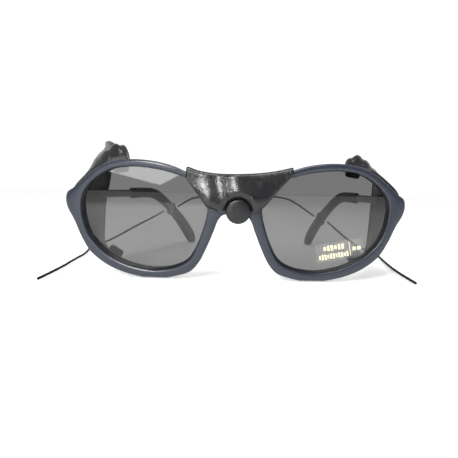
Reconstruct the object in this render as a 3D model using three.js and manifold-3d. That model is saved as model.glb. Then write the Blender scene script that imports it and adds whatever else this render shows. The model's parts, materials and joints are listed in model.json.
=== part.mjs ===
// Glacier glasses: a plastic front with tinted lenses, folding temples with ear tips, a leather
// nose cover that snaps over the bridge, leather side shields and a thin retaining cord.
// Millimetres, +Z up. +X is to the right of someone who looks at the lenses, +Y runs back along
// the temples. The origin is on the table, at the centre of the glasses' box.
import * as THREE from 'three';
import { mergeVertices } from 'three/addons/utils/BufferGeometryUtils.js';
import Module from 'manifold-3d';

const wasm = await Module();
wasm.setup();

// Driving dimensions
const FRONT_Y = -61.95;        // the front face of the bridge, from the origin
const WRAP_RADIUS = 700;      // the front curves back around this radius
const RIM_DEPTH = 4.6;        // the front, from its face to its back
const GAP = 0.3;              // clearance between neighbouring pieces
const RIM_STEPS = 60;         // stations round one rim
const LENS_THICKNESS = 1.6;
const LENS_FRONT = 2.0;       // the lens face, behind the rim's face
const LENS_IN_GROOVE = 0.5;   // how far the lens edge enters the rim's groove
const HINGE_X = 67.2;         // the temple hinge's pin, from the middle
const HINGE_Y = 10.2;         // and behind the front face
const ARM_Z = 34.6;           // the height of the temple arms
const ARM_HEIGHT = 3.8;
const ARM_WIDTH = 2.3;
const ARM_INSIDE = 0.6;       // the arm's inner face, outboard of the pin
const ARM_START = 2.1;        // the arm's front end, behind the pin
const ARM_END = 46;           // where the ear tip takes over
const TONGUE_END = 62;        // the arm's thin end inside the ear tip
const TEMPLE_YAW = THREE.MathUtils.degToRad(8.3);   // the arms close in towards the back
const PIN_RADIUS = 0.6;
const BORE_RADIUS = 0.85;
const KNUCKLE_RADIUS = 1.5;
const KNUCKLE_HALF = 0.9;     // half the middle knuckle's height
const HINGE_HALF = 2.9;       // half the whole hinge's height
const RIVET_RADIUS = 0.5;
const RIVET_HOLE = 0.8;
const RIVET_STEPS = [5.5, 10];                      // rivets along the arm, behind the pin
const LEATHER = 1.2;          // leather thickness
const SNAP_X = 1.8;           // the snap sits a little off the middle
const SNAP_Z = 28.9;
const CAP_RADIUS = 5.15;
const BOSS_RADIUS = 4.9;
const RECESS_RADIUS = 4.2;
const RECESS_DEPTH = 2.0;
const CORD_RADIUS = 0.65;

const PLASTIC = { color: 0x474a55, roughness: 0.45, metalness: 0 };
const TIP = { color: 0x3a3a40, roughness: 0.5, metalness: 0 };
const GLASS = { color: 0x5d5654, roughness: 0.05, metalness: 0, transparent: true, opacity: 0.6 };
const METAL = { color: 0x8a8c90, roughness: 0.3, metalness: 1 };
const BLACK_METAL = { color: 0x17181a, roughness: 0.25, metalness: 0.3 };
const HIDE = { color: 0x1d1f20, roughness: 0.4, metalness: 0 };
const CORD = { color: 0x121213, roughness: 0.8, metalness: 0 };
const FILM = { color: 0xb89b4a, roughness: 0.3, metalness: 0.4 };

const glasses = new THREE.Group();
glasses.position.y = FRONT_Y;

function addMesh(name, geometry, look, parent = glasses) {
  const mesh = new THREE.Mesh(geometry, new THREE.MeshStandardMaterial(look));
  mesh.name = name;
  parent.add(mesh);
  return mesh;
}

// ---- solids and booleans

function toManifold(geometry) {
  const plain = geometry.clone();
  plain.deleteAttribute('normal');
  plain.deleteAttribute('uv');
  const merged = mergeVertices(plain, 1e-4);
  return new wasm.Manifold(new wasm.Mesh({
    numProp: 3,
    vertProperties: new Float32Array(merged.attributes.position.array),
    triVerts: new Uint32Array(merged.index.array),
  }));
}

function toGeometry(manifold) {
  const mesh = manifold.getMesh();
  const geometry = new THREE.BufferGeometry();
  geometry.setAttribute('position', new THREE.BufferAttribute(mesh.vertProperties, 3));
  geometry.setIndex(new THREE.BufferAttribute(mesh.triVerts, 1));
  return geometry;
}

function joined(...geometries) {
  return toGeometry(geometries.map(toManifold).reduce((a, b) => a.add(b)));
}

function cut(geometry, ...tools) {
  return toGeometry(tools.map(toManifold).reduce((a, b) => a.subtract(b), toManifold(geometry)));
}

// Skin over rings of points; closed into a loop, or capped at both ends.
function loft(rings, closed) {
  const sides = rings[0].length;
  const positions = rings.flat().flatMap((p) => [p.x, p.y, p.z]);
  const index = [];
  const spans = closed ? rings.length : rings.length - 1;
  for (let i = 0; i < spans; i++) {
    const here = i * sides;
    const next = ((i + 1) % rings.length) * sides;
    for (let k = 0; k < sides; k++) {
      const k2 = (k + 1) % sides;
      index.push(here + k, next + k, next + k2, here + k, next + k2, here + k2);
    }
  }
  if (!closed) {
    for (const [ring, flip] of [[0, false], [rings.length - 1, true]]) {
      const middle = new THREE.Vector3();
      rings[ring].forEach((p) => middle.addScaledVector(p, 1 / sides));
      const centre = positions.length / 3;
      positions.push(middle.x, middle.y, middle.z);
      for (let k = 0; k < sides; k++) {
        const edge = [ring * sides + k, ring * sides + ((k + 1) % sides)];
        index.push(centre, ...(flip ? edge.reverse() : edge));
      }
    }
  }
  const geometry = new THREE.BufferGeometry();
  geometry.setAttribute('position', new THREE.Float32BufferAttribute(positions, 3));
  geometry.setIndex(index);
  return facingOut(geometry);
}

// Turns a closed mesh's faces outwards if its signed volume is negative.
function facingOut(geometry) {
  const p = geometry.attributes.position;
  const index = geometry.index.array;
  const [a, b, c] = [new THREE.Vector3(), new THREE.Vector3(), new THREE.Vector3()];
  let volume = 0;
  for (let i = 0; i < index.length; i += 3) {
    a.fromBufferAttribute(p, index[i]);
    b.fromBufferAttribute(p, index[i + 1]);
    c.fromBufferAttribute(p, index[i + 2]);
    volume += a.dot(b.cross(c));
  }
  return volume < 0 ? flipped(geometry) : geometry;
}

function flipped(geometry) {
  const index = geometry.index.array;
  for (let i = 0; i < index.length; i += 3) {
    [index[i], index[i + 1]] = [index[i + 1], index[i]];
  }
  return geometry;
}

// The same piece for the other side of the face.
function mirrored(geometry) {
  const copy = mergeVertices(geometry.clone(), 1e-5);
  copy.scale(-1, 1, 1);
  return flipped(copy);
}

function wrapY(x) {
  return (x * x) / (2 * WRAP_RADIUS);
}

// Bends a flat front piece back round the face.
function wrapped(geometry) {
  const p = geometry.attributes.position;
  for (let i = 0; i < p.count; i++) p.setY(i, p.getY(i) + wrapY(p.getX(i)));
  return geometry;
}

// A plate with an outline in X and Z, from depth y0 to y1.
function plate(shape, y0, y1, curveSegments = 8) {
  const geometry = new THREE.ExtrudeGeometry(shape, {
    depth: y1 - y0, bevelEnabled: false, curveSegments,
  });
  geometry.rotateX(Math.PI / 2);
  return geometry.translate(0, y1, 0);
}

function box(x0, x1, y0, y1, z0, z1) {
  return new THREE.BoxGeometry(x1 - x0, y1 - y0, z1 - z0)
    .translate((x0 + x1) / 2, (y0 + y1) / 2, (z0 + z1) / 2);
}

// A turned piece on the snap's axis: profile points are [radius, depth].
function turned(profile, segments = 24) {
  const points = profile.map(([r, y]) => new THREE.Vector2(r, y));
  const lathe = new THREE.LatheGeometry(points, segments);
  return facingOut(mergeVertices(stripped(lathe), 1e-5)).translate(SNAP_X, 0, SNAP_Z);
}

function stripped(geometry) {
  geometry.deleteAttribute('normal');
  geometry.deleteAttribute('uv');
  return geometry;
}

function cylinderY(radius, x, z, y0, y1, segments = 24) {
  return new THREE.CylinderGeometry(radius, radius, y1 - y0, segments)
    .translate(x, (y0 + y1) / 2, z);
}

function cylinderZ(radius, z0, z1, segments = 16) {
  return new THREE.CylinderGeometry(radius, radius, z1 - z0, segments)
    .rotateX(Math.PI / 2).translate(0, 0, (z0 + z1) / 2);
}

function cylinderX(radius, y, x0, x1, segments = 10) {
  return new THREE.CylinderGeometry(radius, radius, x1 - x0, segments)
    .rotateZ(Math.PI / 2).translate((x0 + x1) / 2, y, 0);
}

// ---- the front frame and its lenses

// Stations round the right half of the front, clockwise from the top of the bridge: a point on
// the outer edge, then the point of the lens opening that faces it, each as X, Z.
const RIM_STATIONS = [
  [-2, 43.2, 14.6, 38.2], [8, 43.6, 17.8, 41.2], [20.6, 45.2, 21.4, 42.9], [25.6, 47.2, 25, 43.9],
  [30.2, 48.6, 30, 45.3], [37, 49.8, 37, 46.5], [45.5, 50.1, 45.2, 47], [54, 48.8, 52.8, 45.8],
  [60.6, 45.6, 58.2, 43.1], [66.1, 41.1, 62.4, 39.2], [69.9, 37.6, 64.3, 36.2],
  [72.6, 35.6, 65.2, 33.6], [73.3, 32.6, 65.3, 31.1], [72.5, 28.9, 65, 28.4],
  [69.5, 23.7, 64.3, 24.6], [65.6, 15.8, 61.8, 18.3], [61.5, 10, 58.2, 13.9], [54.3, 4.8, 52.6, 9.4],
  [46.2, 1.6, 45.5, 6.1], [36, -0.3, 36.4, 4.2], [31, -0.3, 31.4, 4.2], [24, 0.9, 25.4, 5.3],
  [18.2, 3, 20.8, 7.3], [14.9, 6.6, 18.3, 9.6], [11.6, 13.2, 15.8, 14.2], [8.8, 20.1, 13.6, 20],
  [6.8, 25.2, 12.1, 25.4], [4.6, 27.2, 11.6, 28.7], [-2, 27.3, 12, 32],
];
const BRIDGE_STEPS = 3;       // stations across the joint between the two halves

// Outer and inner points of every station, with the unit vector from one to the other.
function rimStations() {
  const curves = [0, 2].map((k) => new THREE.CatmullRomCurve3(
    RIM_STATIONS.map((s) => new THREE.Vector3(s[k], 0, s[k + 1])), false, 'centripetal'));
  const pairs = [];
  for (let i = 0; i <= RIM_STEPS; i++) {
    pairs.push(curves.map((curve) => curve.getPoint(i / RIM_STEPS)));
  }
  const [last, first] = [pairs[RIM_STEPS], pairs[0]];
  for (let i = 1; i <= BRIDGE_STEPS; i++) {
    const t = i / (BRIDGE_STEPS + 1);
    pairs.push([0, 1].map((k) => last[k].clone().lerp(first[k], t)));
  }
  return pairs.map(([outer, inner]) => {
    outer.z = Math.max(outer.z, 0);
    return { outer, inner, across: inner.clone().sub(outer).normalize() };
  });
}

// The rim's section: [measured from 0 the outer or 1 the inner edge, distance into the rim, depth].
const RIM_SECTION = [
  [0, 0, 0.8], [0, 0.8, 0], [1, 1.3, 0], [1, 0, 1.2], [1, 0, 1.6], [1, 0.8, 1.9],
  [1, 0.8, 3.7], [1, 0, 4.0], [1, 0.3, RIM_DEPTH], [0, 0.8, RIM_DEPTH], [0, 0, 3.8],
];

function rimHalf(stations) {
  return loft(stations.map((s) => RIM_SECTION.map(([edge, inset, depth]) => {
    const from = edge ? s.inner : s.outer;
    const point = from.clone().addScaledVector(s.across, edge ? -inset : inset);
    point.y = depth;
    return point;
  })), true);
}

function frontFrame(stations) {
  const half = rimHalf(stations);
  const boss = cylinderY(BOSS_RADIUS, SNAP_X, SNAP_Z, 0.4, RIM_DEPTH, 32);
  const recess = cylinderY(RECESS_RADIUS, SNAP_X, SNAP_Z, -1, RECESS_DEPTH, 32);
  const postHole = cylinderY(1.2, SNAP_X, SNAP_Z, -1, RIM_DEPTH + 1, 16);
  return wrapped(cut(joined(half, mirrored(half), boss), recess, postHole));
}

function lens(stations) {
  const outline = stations.map((s) => {
    const p = s.inner.clone().addScaledVector(s.across, -LENS_IN_GROOVE);
    return new THREE.Vector2(p.x, p.z);
  });
  return wrapped(stripped(plate(new THREE.Shape(outline), LENS_FRONT, LENS_FRONT + LENS_THICKNESS)));
}

const stations = rimStations();
addMesh('front_frame', frontFrame(stations), PLASTIC);
const rightLens = mergeVertices(lens(stations), 1e-5);
addMesh('lens_right', rightLens, GLASS);
addMesh('lens_left', mirrored(rightLens), GLASS);

// A clear printed film on the lower outer part of the right lens.
function lensLabel() {
  const [left, right, low, high] = [34.5, 53, 11, 18];
  const front = (x) => LENS_FRONT + wrapY(x) - 0.35;
  const ring = (x) => [[0, low], [0.2, low], [0.2, high], [0, high]]
    .map(([y, z]) => new THREE.Vector3(x, front(x) + y, z));
  const steps = 6;
  return loft(Array.from({ length: steps + 1 }, (_, i) => ring(left + ((right - left) * i) / steps)),
    false);
}
addMesh('lens_label', lensLabel(), FILM);

// ---- temples: hinge, arm and ear tip, in the right-hand temple's own frame, whose origin is on
// the hinge pin and whose +Y runs along the arm

function knuckle(z0, z1) {
  return cylinderZ(KNUCKLE_RADIUS, z0, z1, 20);
}

// The leaf on the frame's lug: a plate with an upper and a lower knuckle round the pin.
function frameLeaf() {
  const lugBack = RIM_DEPTH + wrapY(HINGE_X + 4) + GAP - HINGE_Y;
  const leaf = box(-0.8, 2.7, lugBack, lugBack + 0.8, -HINGE_HALF, HINGE_HALF);
  const gap = 0.2;
  const slot = box(-2, 1.9, lugBack - 1, 3, -KNUCKLE_HALF - gap, KNUCKLE_HALF + gap);
  const ends = [[-HINGE_HALF, -KNUCKLE_HALF - gap], [KNUCKLE_HALF + gap, HINGE_HALF]];
  return cut(joined(leaf, ...ends.map(([z0, z1]) => knuckle(z0, z1))), slot,
    cylinderZ(BORE_RADIUS, -5, 5));
}

// The leaf on the arm: the middle knuckle, and a plate along the arm's inner face.
function templeLeaf() {
  const tail = box(-0.6, ARM_INSIDE - GAP, 1.9, 13, -1.7, 1.7);
  const neck = box(-0.6, ARM_INSIDE - GAP, 0.8, 2.5, -KNUCKLE_HALF, KNUCKLE_HALF);
  const holes = RIVET_STEPS.map((y) => cylinderX(RIVET_HOLE, y, -2, 2));
  return cut(joined(knuckle(-KNUCKLE_HALF, KNUCKLE_HALF), neck, tail),
    cylinderZ(BORE_RADIUS, -5, 5), ...holes);
}

// The hinge screw: a domed head over the upper knuckle and a plain shank.
function hingeScrew() {
  const head = HINGE_HALF + 0.1;
  const profile = [[0, -HINGE_HALF], [PIN_RADIUS, -HINGE_HALF], [PIN_RADIUS, head],
    [1.1, head], [1.1, head + 0.3], [0.7, head + 0.6], [0, head + 0.6]];
  const points = profile.map(([r, z]) => new THREE.Vector2(r, z));
  const screw = new THREE.LatheGeometry(points, 16).rotateX(Math.PI / 2);
  return facingOut(mergeVertices(stripped(screw), 1e-5));
}

function armBar(x0, x1, y0, y1, half, chamfer) {
  const shape = new THREE.Shape([
    [x0 + chamfer, -half], [x1 - chamfer, -half], [x1, -half + chamfer], [x1, half - chamfer],
    [x1 - chamfer, half], [x0 + chamfer, half], [x0, half - chamfer], [x0, -half + chamfer],
  ].map(([x, z]) => new THREE.Vector2(x, z)));
  return plate(shape, y0, y1);
}

function templeArm() {
  const outside = ARM_INSIDE + ARM_WIDTH;
  const bar = armBar(ARM_INSIDE, outside, ARM_START, ARM_END, ARM_HEIGHT / 2, 0.4);
  const tongue = armBar(ARM_INSIDE + 0.5, outside - 0.5, ARM_END - 1, TONGUE_END, 1.2, 0.2);
  return cut(joined(bar, tongue), ...RIVET_STEPS.map((y) => cylinderX(RIVET_HOLE, y, 0, 5)));
}

// A rivet through the leaf and the arm, with a low head on each side.
function templeRivet(y) {
  const [inside, outside] = [-0.7, ARM_INSIDE + ARM_WIDTH + 0.1];
  return joined(cylinderX(RIVET_RADIUS, y, inside - 0.1, outside + 0.1),
    cylinderX(1.15, y, inside - 0.4, inside, 12), cylinderX(1.15, y, outside, outside + 0.3, 12));
}

// The ear tip's middle line: straight over the arm's tongue, then down and inwards to the table.
const TIP_LINE = [
  [1.75, ARM_END + GAP, 0.1], [1.75, 60, 0.3], [1.7, 72, 0], [1.2, 80, -1.5], [-0.2, 87, -4.9],
  [-3.1, 95, -11.2], [-6, 104, -19], [-8.2, 112.9, -27.5], [-9.5, 118.9, -34.15],
];
const TIP_STEPS = 24;

// Half the tip's height and thickness, along its length from 0 to 1: slim, then a rounded paddle.
function tipHalfHeight(t) {
  const growing = 2.9 + 1.6 * THREE.MathUtils.smoothstep(t, 0.45, 0.95);
  const round = Math.max(0, (t - 0.94) / 0.06);
  return growing * Math.sqrt(Math.max(0.02, 1 - round * round));
}

function earTip() {
  const line = new THREE.CatmullRomCurve3(TIP_LINE.map((p) => new THREE.Vector3(...p)));
  const rings = [];
  for (let i = 0; i <= TIP_STEPS; i++) {
    const t = i / TIP_STEPS;
    const along = line.getTangentAt(t);
    const up = new THREE.Vector3(0, -along.z, along.y).normalize();
    const side = new THREE.Vector3().crossVectors(along, up).normalize();
    const height = tipHalfHeight(t);
    const width = Math.min(1.65 + 0.35 * t, height);
    rings.push(ovalRing(line.getPointAt(t), side, up, width, height));
  }
  const socket = box(ARM_INSIDE + 0.5 - GAP, ARM_INSIDE + ARM_WIDTH - 0.5 + GAP, ARM_END - 2,
    TONGUE_END + GAP, -1.2 - GAP, 1.2 + GAP);
  return cut(loft(rings, false), socket);
}

// A rounded-rectangle section: a superellipse with twelve points.
function ovalRing(centre, side, up, width, height) {
  const soften = (v) => Math.sign(v) * Math.abs(v) ** 0.7;
  return Array.from({ length: 12 }, (_, k) => {
    const a = ((k + 0.5) / 12) * Math.PI * 2;
    return centre.clone().addScaledVector(side, width * soften(Math.cos(a)))
      .addScaledVector(up, height * soften(Math.sin(a)));
  });
}

function placedTemple(side) {
  const temple = new THREE.Group();
  temple.position.set(side * HINGE_X, HINGE_Y, ARM_Z);
  temple.rotation.z = side * TEMPLE_YAW;
  glasses.add(temple);
  return temple;
}

const temples = {};
for (const [word, side] of [['left', -1], ['right', 1]]) {
  const handed = (geometry) => (side < 0 ? mirrored(geometry) : geometry);
  const temple = placedTemple(side);
  temples[word] = temple;
  addMesh(`temple_arm_${word}`, handed(templeArm()), PLASTIC, temple);
  addMesh(`ear_tip_${word}`, handed(earTip()), TIP, temple);
  addMesh(`temple_hinge_leaf_${word}`, handed(templeLeaf()), METAL, temple);
  RIVET_STEPS.forEach((y, i) => {
    const name = `temple_rivet_${['front', 'rear'][i]}_${word}`;
    addMesh(name, handed(templeRivet(y)), METAL, temple);
  });
  const hinge = new THREE.Group();
  hinge.position.set(side * HINGE_X, HINGE_Y, ARM_Z);
  glasses.add(hinge);
  addMesh(`frame_hinge_leaf_${word}`, handed(frameLeaf()), METAL, hinge);
  addMesh(`hinge_screw_${word}`, handed(hingeScrew()), METAL, hinge);
}

// ---- the leather nose cover and its snap

// Right half of the cover's outline from the top middle, as X, Z; the ends rise with the rims.
const COVER_TOP = [[0, 44.8], [10, 45.3], [18, 46.5], [23.4, 47.9]];
const COVER_SIDE = [[24, 46.4], [22.6, 42.8], [17.6, 37.2], [12.4, 31]];

function coverOutline(bottom) {
  const right = [...COVER_TOP.slice(1), ...COVER_SIDE];
  const left = right.map(([x, z]) => [-x * 0.9, z - 0.4]).reverse();
  const points = [COVER_TOP[0], ...right, ...bottom, ...left];
  return new THREE.Shape(points.map(([x, z]) => new THREE.Vector2(x, z)));
}

// The front of the cover: it hangs from the fold over the bridge, and its tongue takes the snap.
function coverFront() {
  const tongue = Array.from({ length: 9 }, (_, i) => {
    const a = ((-10 - 20 * i) * Math.PI) / 180;
    return [SNAP_X + 4.9 * Math.cos(a), SNAP_Z + 4.9 * Math.sin(a)];
  });
  const panel = plate(coverOutline(tongue), -GAP - LEATHER, -GAP);
  return cut(panel, cylinderY(1.2, SNAP_X, SNAP_Z, -3, 1, 16));
}

// The back of the cover: behind the bridge, and over its top edge to the fold.
function coverBack() {
  const back = plate(coverOutline([[6, 28], [-4, 28]]), RIM_DEPTH + GAP, RIM_DEPTH + GAP + LEATHER);
  const postHole = cylinderY(1.2, SNAP_X, SNAP_Z, 0, 12, 16);
  const strip = loft([-16.5, -10, 0, 10, 18].map((x) => {
    const low = 43.2 + 2 * GAP + (x * x) / 190;
    const y1 = RIM_DEPTH + GAP + 0.5;
    return [[0.1, low], [y1, low], [y1, low + 0.9], [0.1, low + 0.9]]
      .map(([y, z]) => new THREE.Vector3(x, y, z));
  }), false);
  return wrapped(cut(joined(back, strip), postHole));
}

addMesh('nose_cover_front', coverFront(), HIDE);
addMesh('nose_cover_back', coverBack(), HIDE);
addMesh('snap_cap', turned([
  [0, -0.4], [0.9, -0.4], [0.9, -1.6], [CAP_RADIUS - 0.3, -1.6], [CAP_RADIUS, -1.9],
  [CAP_RADIUS, -2.3], [4.4, -3], [3, -3.4], [1.5, -3.6], [0, -3.65],
], 32), BLACK_METAL);
addMesh('snap_socket', turned([
  [1.7, -0.2], [3.8, -0.2], [3.8, 0.7], [3, 1.2], [1.7, 1.2], [1.7, -0.2],
]), METAL);
addMesh('snap_stud', turned([
  [0, 1.9], [3.4, 1.9], [3.4, 1.5], [1.1, 1.5], [1.3, 0.9], [1, 0.4], [0, 0.3],
]), METAL);
addMesh('snap_post', turned([
  [0, 2.05], [0.9, 2.05], [0.9, 6.3], [2.6, 6.3], [2.6, 6.6], [1.8, 6.95], [0, 7],
]), METAL);

// ---- leather side shields and the clips that hold them to the rims

// The shield's front edge follows the back of the rim from the lower clip to the upper one, X, Z.
const SHIELD_FRONT = new THREE.CatmullRomCurve3([
  [50.5, 5.2], [60.6, 12.2], [65.4, 19], [69.4, 26.5], [72, 33.2], [70.8, 37.8],
  [66.4, 42.4], [60, 46.8], [47.4, 49.8],
].map(([x, z]) => new THREE.Vector3(x, 0, z)));
// Its rear edge stands upright: the bottom and the top corner, X and Z, on each side.
const SHIELD_REAR = { left: [[70.4, 8], [68.6, 61]], right: [[67.6, 8], [68.9, 54]] };
const SHIELD_BACK_Y = 36;
const SHIELD_GRID = [22, 7];  // steps up the shield, and steps back
const CLIP_ROOM = 2.1;        // the leather stays this far behind the rim at its clips
const CLIP_FROM_END = 4;      // a clip's middle, from the end of the leather's front edge

function shieldPoint(rear, u, v) {
  const front = SHIELD_FRONT.getPointAt(u);
  const nearClip = THREE.MathUtils.smoothstep(Math.abs(u - 0.5), 0.32, 0.4);
  front.y = RIM_DEPTH + wrapY(front.x) + GAP + (CLIP_ROOM - GAP) * nearClip;
  const back = new THREE.Vector3(
    THREE.MathUtils.lerp(rear[0][0], rear[1][0], u), SHIELD_BACK_Y,
    THREE.MathUtils.lerp(rear[0][1], rear[1][1], u));
  const bend = THREE.MathUtils.smoothstep(v, 0, 1);
  const point = front.clone().lerp(back, bend);
  point.y = THREE.MathUtils.lerp(front.y, back.y, v);
  return point;
}

// The leather as a closed sheet: rings that run up its outside and down its inside.
function sideShield(rear) {
  const [up, deep] = SHIELD_GRID;
  const step = 1e-3;
  const normal = (u, v) => {
    const p = shieldPoint(rear, Math.min(u, 1 - step), Math.min(v, 1 - step));
    const du = shieldPoint(rear, Math.min(u, 1 - step) + step, Math.min(v, 1 - step)).sub(p);
    const dv = shieldPoint(rear, Math.min(u, 1 - step), Math.min(v, 1 - step) + step).sub(p);
    return du.cross(dv).normalize();
  };
  const rings = [];
  for (let j = 0; j <= deep; j++) {
    const outside = [];
    const inside = [];
    for (let i = 0; i <= up; i++) {
      const [u, v] = [i / up, j / deep];
      const point = shieldPoint(rear, u, v);
      const n = normal(u, v).multiplyScalar(LEATHER / 2);
      outside.push(point.clone().add(n));
      inside.push(point.clone().sub(n));
    }
    rings.push([...outside, ...inside.reverse()]);
  }
  return stripCapped(rings, up);
}

// Closes a sheet's front and rear edges with strips instead of fans, because they are long and bent.
function stripCapped(rings, up) {
  const sides = 2 * (up + 1);
  const positions = rings.flat().flatMap((p) => [p.x, p.y, p.z]);
  const index = [];
  for (let j = 0; j < rings.length - 1; j++) {
    for (let k = 0; k < sides; k++) {
      const [a, b] = [j * sides + k, j * sides + ((k + 1) % sides)];
      index.push(a, a + sides, b + sides, a, b + sides, b);
    }
  }
  for (const [ring, flip] of [[0, false], [rings.length - 1, true]]) {
    for (let i = 0; i < up; i++) {
      const [a, b] = [ring * sides + i, ring * sides + i + 1];
      const [c, d] = [ring * sides + sides - 2 - i, ring * sides + sides - 1 - i];
      index.push(...(flip ? [a, c, b, a, d, c] : [a, b, c, a, c, d]));
    }
  }
  const geometry = new THREE.BufferGeometry();
  geometry.setAttribute('position', new THREE.Float32BufferAttribute(positions, 3));
  geometry.setIndex(index);
  return facingOut(geometry);
}

addMesh('side_shield_right', sideShield(SHIELD_REAR.right), HIDE);
addMesh('side_shield_left', mirrored(sideShield(SHIELD_REAR.left)), HIDE);

// A clip behind the rim: a rounded plate, with two jaws that pinch the leather's edge. Its own
// frame has X along the leather's edge, Z away from the lens, and its origin in the slot.
function shieldClip() {
  const [half, inwards, outwards, corner] = [3.2, -4.7, 2.3, 1.4];
  const shape = new THREE.Shape();
  shape.moveTo(-half, outwards);
  shape.lineTo(-half, inwards + corner);
  shape.quadraticCurveTo(-half, inwards, corner - half, inwards);
  shape.lineTo(half - corner, inwards);
  shape.quadraticCurveTo(half, inwards, half, inwards + corner);
  shape.lineTo(half, outwards);
  const slot = LEATHER / 2 + 0.7;
  const jaw = (z) => box(-2.6, 2.6, 0.5, 3.8, z, z + 0.8);
  return joined(plate(shape, 0, 1.1, 4), jaw(slot), jaw(-slot - 0.8));
}

function placedClip(end, side) {
  const share = CLIP_FROM_END / SHIELD_FRONT.getLength();
  const u = end === 'top' ? 1 - share : share;
  const at = SHIELD_FRONT.getPointAt(u);
  const back = new THREE.Vector3(0, 1, 0);
  const outwards = new THREE.Vector3().crossVectors(back, SHIELD_FRONT.getTangentAt(u));
  const clip = shieldClip();
  clip.applyMatrix4(new THREE.Matrix4().makeBasis(
    new THREE.Vector3().crossVectors(back, outwards), back, outwards));
  clip.translate(at.x, RIM_DEPTH + wrapY(at.x + 3.2) + GAP, at.z);
  return side < 0 ? mirrored(clip) : clip;
}

for (const [word, side] of [['left', -1], ['right', 1]]) {
  for (const end of ['top', 'bottom']) {
    addMesh(`shield_clip_${end}_${word}`, placedClip(end, side), BLACK_METAL);
  }
}

// ---- the retaining cord: it loops round both ear tips, and its ends lie forward on the table

const CORD_ROUTES = {
  cord_tail_left: [
    [-55.4, 102.1, 22.8], [-60.7, 102.3, 19.5], [-69.1, 102.5, 14.9], [-78.5, 102.8, 9.6],
    [-87.8, 102.8, 4.2], [-93.6, 101, 1.5], [-96.2, 96, 0.8], [-94.9, 88, 0.7], [-92.9, 77, 0.7],
    [-89.4, 65, 0.7], [-86.8, 55, 0.7], [-84.8, 43, 0.7], [-82.8, 31, 0.7], [-80.8, 20, 0.7],
    [-79.1, 8, 0.7], [-78, -1, 0.7], [-77.1, -9.4, 0.7],
  ],
  cord_tail_right: [
    [52.6, 107.7, 17.6], [57, 107.8, 13.9], [62.6, 106.5, 9.1], [68.2, 103.4, 4.9],
    [73, 97.6, 2], [76.2, 89.6, 0.9], [78, 80, 0.7], [78.6, 70, 0.7], [77.8, 60, 0.7],
    [77, 49, 0.7], [76.4, 39, 0.7], [76.1, 30, 0.7], [76.1, 16.4, 0.7], [76.5, 5.8, 0.7],
    [76.8, -1.5, 0.7],
  ],
  cord_middle_left: [
    [-46.9, 102.1, 25.5], [-44.2, 103.4, 27.3], [-40.8, 104.6, 29.5], [-37.3, 105.5, 31.3],
    [-32, 106.9, 32.3], [-24, 108.8, 33], [-16, 110.2, 33.4], [-8, 111.2, 33.5],
    [-0.15, 111.7, 33.5],
  ],
  cord_middle_right: [
    [0.15, 111.7, 33.5], [9, 111.8, 33.4], [18.8, 111, 33.3], [27, 109.8, 31.6],
    [33.8, 108.7, 27.9], [39.4, 108, 24.1], [44.1, 107.4, 20.8],
  ],
};
const CORD_SECTION_SIDES = 8;
const CORD_STEP = 6.5;        // one step of the tube in five cord widths

function cordTube(points) {
  const line = new THREE.CatmullRomCurve3(points.map((p) => new THREE.Vector3(...p)));
  const section = new THREE.Shape(Array.from({ length: CORD_SECTION_SIDES }, (_, k) => {
    const a = ((k + 0.5) / CORD_SECTION_SIDES) * Math.PI * 2;
    return new THREE.Vector2(CORD_RADIUS * Math.cos(a), CORD_RADIUS * Math.sin(a));
  }));
  const steps = Math.round(line.getLength() / CORD_STEP) + 4;
  return new THREE.ExtrudeGeometry(section, { extrudePath: line, steps, bevelEnabled: false });
}

for (const [name, points] of Object.entries(CORD_ROUTES)) {
  addMesh(name, cordTube(points), CORD);
}

const WRAP_STEPS = 16;

// One turn of cord round an ear tip, at a share of the way along it.
function cordWrap(share) {
  const line = new THREE.CatmullRomCurve3(TIP_LINE.map((p) => new THREE.Vector3(...p)));
  const along = line.getTangentAt(share);
  const up = new THREE.Vector3(0, -along.z, along.y).normalize();
  const side = new THREE.Vector3().crossVectors(along, up).normalize();
  const centre = line.getPointAt(share);
  const room = CORD_RADIUS + 0.25;
  const [width, height] = [1.65 + 0.35 * share + room, tipHalfHeight(share) + room];
  const rings = Array.from({ length: WRAP_STEPS }, (_, i) => {
    const a = (i / WRAP_STEPS) * Math.PI * 2;
    const out = side.clone().multiplyScalar(width * Math.cos(a))
      .addScaledVector(up, height * Math.sin(a));
    const radial = out.clone().normalize();
    return Array.from({ length: CORD_SECTION_SIDES }, (_, k) => {
      const b = (k / CORD_SECTION_SIDES) * Math.PI * 2;
      return centre.clone().add(out).addScaledVector(radial, CORD_RADIUS * Math.cos(b))
        .addScaledVector(along, CORD_RADIUS * Math.sin(b));
    });
  });
  return loft(rings, true);
}

const WRAP_SHARE = { left: 0.592, right: 0.681 };
addMesh('cord_wrap_right', cordWrap(WRAP_SHARE.right), CORD, temples.right);
addMesh('cord_wrap_left', mirrored(cordWrap(WRAP_SHARE.left)), CORD, temples.left);

export default glasses;
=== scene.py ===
"""Glacier glasses: the looks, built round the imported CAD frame.

Shapes are worked out in millimetres, with +X to the right, +Y back and +Z up, and y = 0 on the
face of the bridge. metres() takes such a point to the row frame."""

import bisect
import json
import math

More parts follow.
